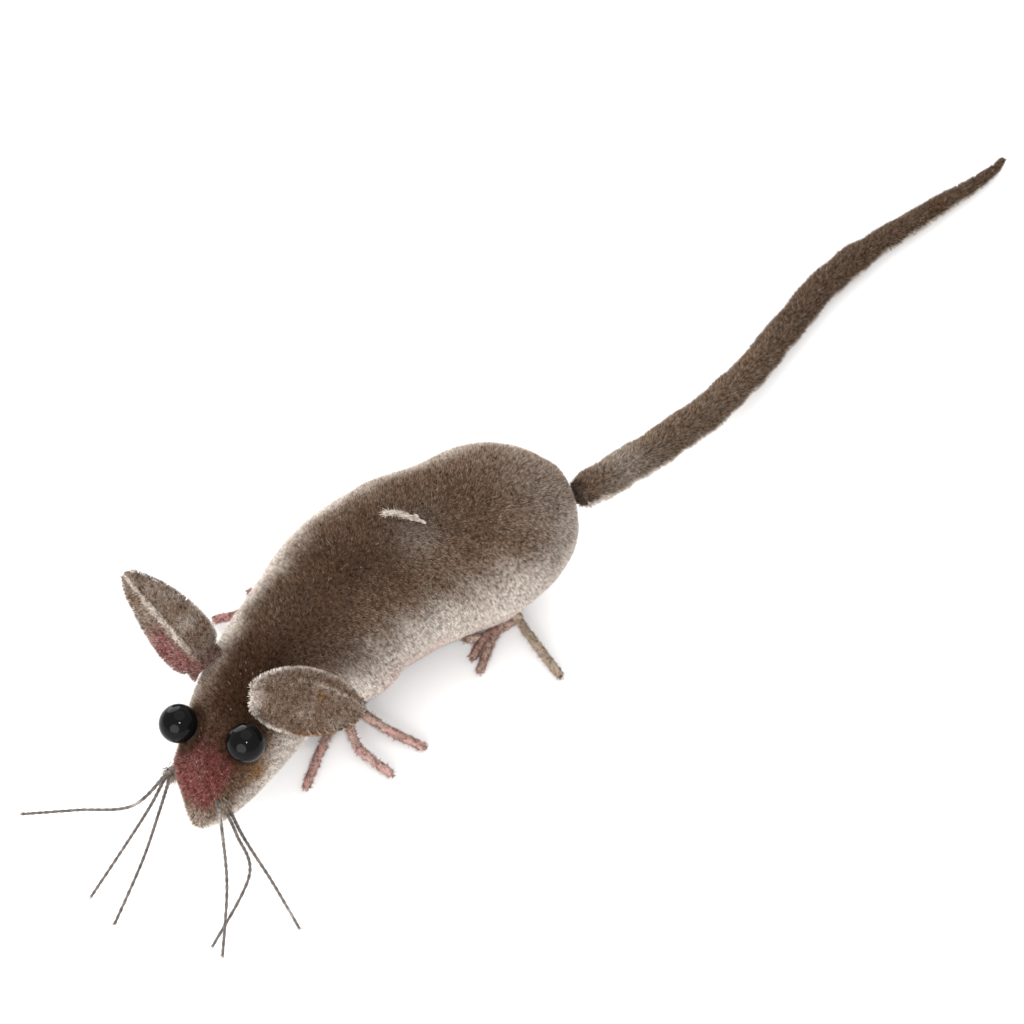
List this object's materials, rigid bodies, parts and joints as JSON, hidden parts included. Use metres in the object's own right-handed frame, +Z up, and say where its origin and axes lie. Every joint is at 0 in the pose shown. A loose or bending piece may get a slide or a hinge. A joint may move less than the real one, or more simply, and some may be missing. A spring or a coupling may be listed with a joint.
{
  "type": "wind-up toy mouse",
  "caption": "Stuffed velvet toy mouse with glass bead eyes, thread whiskers, wire feet and a long plush tail, on a tin base plate with a wind-up motor, drive wheels and a side key.",
  "frame": {"origin": "under the middle of the bounding box, on the surface the mouse stands on", "axes": "+Y towards the tail, +X towards the mouse's left, +Z up; the mouse faces -Y with its head turned to its left"},
  "size_m": [0.1098, 0.2146, 0.0341],
  "materials": {
    "velvet": "short-pile velvet, brown back shading to grey-cream flanks and pink belly",
    "ear_velvet": "two layers of short-pile velvet",
    "tail_plush": "slightly longer pile, cream along the underside",
    "pink_flock": "flocked wire, dusty pink",
    "wadding": "cotton wadding",
    "whisker_thread": "waxed dark thread",
    "seam_thread": "pale frayed thread",
    "eye_glass": "black glass bead",
    "tinplate": "plain tinned sheet",
    "brass": "stamped brass",
    "steel": "turned steel",
    "spring_steel": "blued spring steel",
    "rubber": "black rubber"
  },
  "bodies": {
    "body": {"body_cover": "velvet", "body_stuffing": "wadding", "head_stuffing": "wadding", "ear_left": "ear_velvet", "ear_right": "ear_velvet", "eye_left": "eye_glass", "eye_right": "eye_glass", "eye_wire_left": "steel", "eye_wire_right": "steel", "foot_front_left": "pink_flock", "foot_front_right": "pink_flock", "foot_rear_left": "pink_flock", "foot_rear_right": "pink_flock", "tail_cover": "tail_plush", "tail_wire": "steel", "stitch_tuft": "seam_thread", "base_plate": "tinplate", "side_plate_left": "tinplate", "side_plate_right": "tinplate", "pillar_1": "steel", "pillar_2": "steel", "pillar_3": "steel", "mainspring": "spring_steel", "front_axle": "steel", "front_bracket_left": "tinplate", "front_bracket_right": "tinplate", "whisker_left_1": "whisker_thread", "whisker_left_2": "whisker_thread", "whisker_left_3": "whisker_thread", "whisker_right_1": "whisker_thread", "whisker_right_2": "whisker_thread", "whisker_right_3": "whisker_thread"},
    "drive_wheels": {"drive_axle": "steel", "drive_wheel_left": "brass", "drive_wheel_right": "brass", "drive_tyre_left": "rubber", "drive_tyre_right": "rubber"},
    "intermediate": {"intermediate_wheel": "brass", "intermediate_arbor": "steel"},
    "great": {"great_wheel": "brass", "click_pin": "steel", "click_spring": "spring_steel"},
    "winding": {"winding_key": "brass", "winding_arbor": "steel", "ratchet_wheel": "steel"},
    "pawl": {"click": "steel"},
    "front": {"front_wheel": "brass"}
  },
  "joints": [
    {"name": "drive_axle_spin", "type": "hinge", "parent": "body", "child": "drive_wheels", "pos_m": [0.0023, -0.02544, 0.005], "axis": [1, 0, 0], "continuous": true},
    {"name": "intermediate_spin", "type": "hinge", "parent": "body", "child": "intermediate", "pos_m": [0.0023, -0.0285, 0.01239], "axis": [1, 0, 0], "continuous": true},
    {"name": "great_wheel_spin", "type": "hinge", "parent": "body", "child": "great", "pos_m": [0.0023, -0.03794, 0.0113], "axis": [1, 0, 0], "continuous": true},
    {"name": "key_winding", "type": "hinge", "parent": "great", "child": "winding", "pos_m": [0.0023, -0.03794, 0.0113], "axis": [1, 0, 0], "continuous": true},
    {"name": "click_lift", "type": "hinge", "parent": "great", "child": "pawl", "pos_m": [0.0023, -0.03914, 0.0167], "axis": [1, 0, 0], "range_deg": [0, 12], "stiffness_Nm_per_rad": 0.0001, "springref_deg": -5.73},
    {"name": "front_wheel_spin", "type": "hinge", "parent": "body", "child": "front", "pos_m": [0.0023, -0.05094, 0.0036], "axis": [1, 0, 0], "continuous": true}
  ],
  "couplings": [
    {"joint": "intermediate_spin", "follows": "drive_axle_spin", "ratio": -0.33333},
    {"joint": "great_wheel_spin", "follows": "drive_axle_spin", "ratio": 0.088889}
  ]
}
